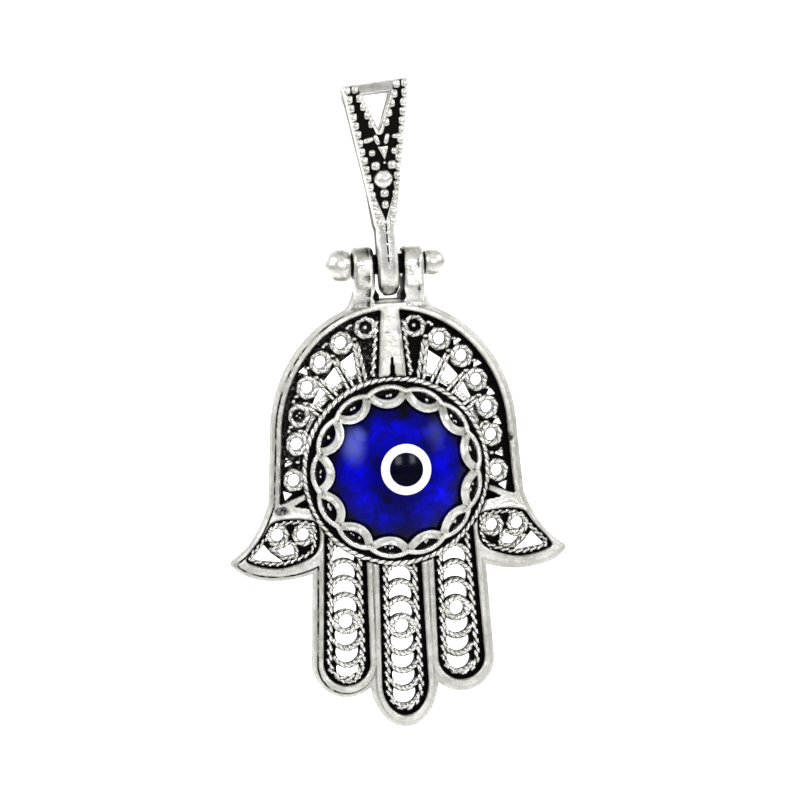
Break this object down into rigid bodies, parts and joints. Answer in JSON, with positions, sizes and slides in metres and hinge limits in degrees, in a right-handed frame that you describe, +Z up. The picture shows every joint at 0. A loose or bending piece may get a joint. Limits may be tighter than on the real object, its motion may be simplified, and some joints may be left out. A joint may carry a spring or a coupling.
{
  "type": "hamsa pendant",
  "caption": "Pierced silver hand with a domed blue glass eye, swinging on a hinge pin under a tapered bail.",
  "frame": {"origin": "where the chain runs: the middle of the bail's inside, at its top", "axes": "+Z up to the top of the bail, the hand's face looks along -Y, +X to the viewer's right"},
  "size_m": [0.0268, 0.0072, 0.0513],
  "materials": {
    "silver": "polished cast silver, blackened in its hollows",
    "blue_glass": "deep cobalt glass, domed and glossy",
    "white_glass": "opaque white glass",
    "black_glass": "opaque black glass"
  },
  "bodies": {
    "bail": {"bail": "silver"},
    "hand": {"hand": "silver", "hinge_pin": "silver", "eye_glass": "blue_glass", "eye_ring": "white_glass", "pupil": "black_glass"}
  },
  "joints": [
    {"name": "hand_swing", "type": "hinge", "parent": "bail", "child": "hand", "pos_m": [0, 0, -0.0137], "axis": [1, 0, 0], "range_deg": [-94, 93]}
  ]
}
